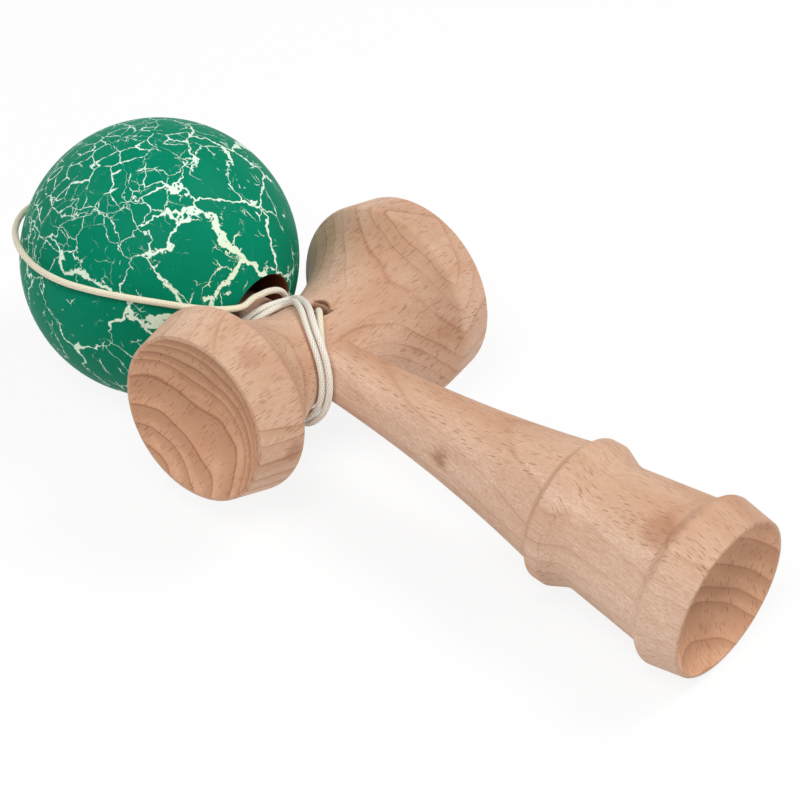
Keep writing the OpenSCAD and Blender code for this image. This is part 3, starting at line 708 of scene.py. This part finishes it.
drill(handle, laid(on_hole_line(-DRILL_REACH)), laid(on_hole_line(KNOT_SEAT)), POCKET_R)
select(handle)
bpy.ops.object.shade_smooth_by_angle(angle=CREASE)
dress(handle, ken_beech)
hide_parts("ken")
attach(handle, "ken")
dress(nodes["sarado"], sarado_beech)
dress(nodes["tama"], crackle_paint())
dress(nodes["bead"], bead_wood)
cotton = braided_cotton()

route = [laid(p) for p in string_route()]
string = braided_tube("string", smoothed(route, STRING_STEP * MM), CORD_R * MM, STRING_SIDES)
dress(string, cotton)
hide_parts("string_lead", "string_wraps", "string_run", "string_tail")
ken_stop = knot("ken_stopper_knot", laid(on_hole_line(KNOT_SEAT - KNOT_H / 2)), HOLE_AXIS, "ken_knot", "ken")
bead_stop = knot("bead_stopper_knot", laid(BALL + Vector((0, 0, BEAD_LOW - KNOT_H / 2))), KEN_AXIS,
                 "bead_knot", "bead")
laid((0, 0, SARADO_H + 10))
laid(BALL)
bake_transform(string)
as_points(smoothed(route, 1 * MM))

# Camera at the photograph's viewing angle
CAMERA_AT = Vector((0.3508, -0.4193, 0.4637))
CAMERA_DIR = Vector((-0.4942, 0.6004, -0.6287))
CAMERA_ROLL = math.radians(0.69)
bpy.ops.object.camera_add(location=CAMERA_AT)
camera = bpy.context.object
camera.data.sensor_width = 36
camera.data.lens = 152.3
camera.data.clip_start = 0.01
aim = CAMERA_DIR.to_track_quat("-Z", "Y").to_matrix() @ Matrix.Rotation(CAMERA_ROLL, 3, "Z")
camera.rotation_euler = aim.to_euler()
scene.camera = camera

# Pale floor, white to the camera and in reflections, that keeps a soft shadow
bpy.ops.mesh.primitive_plane_add(size=6, location=(0, 0, 0))
floor = bpy.context.object
floor.name = "floor"
finish, tree = material("white_paper")
paper = add(tree, "BsdfDiffuse", {"Color": colour("#F2F2F1")})
glow = add(tree, "Emission", {"Color": (1, 1, 1, 1), "Strength": 1.0})
both = add(tree, "MixShader", {0: seen_white(tree, 0.0, 0.88), 1: paper, 2: glow})
add(tree, "OutputMaterial", {"Surface": both})
dress(floor, finish)

# Soft studio light: a lamp above and in front, one behind, weak ones from left and right, and a dim even room
world = bpy.data.worlds.new("studio")
scene.world = world
world.use_nodes = True
tree = world.node_tree
tree.nodes.clear()
room = add(tree, "Background", {"Color": (1, 1, 1, 1), "Strength": seen_white(tree, 0.06, 1.0)})
add(tree, "OutputWorld", {"Surface": room})
LAMP_SIZE = 0.4
LIT_AT = Vector((0, 0, 0.02))
for name, place, power in (("key", (0.22, -0.5, 0.83), 5.6), ("back", (0.3, 0.5, 0.82), 5.7),
                           ("left", (-0.8, -0.3, 0.5), 2.5), ("right", (0.9, 0.0, 0.4), 1.2)):
    bpy.ops.object.light_add(type="AREA", location=place)
    lamp = bpy.context.object
    lamp.name = name
    lamp.data.size = LAMP_SIZE
    lamp.data.energy = power
    lamp.rotation_euler = (LIT_AT - Vector(place)).to_track_quat("-Z", "Y").to_euler()

scene.view_settings.view_transform = "Standard"
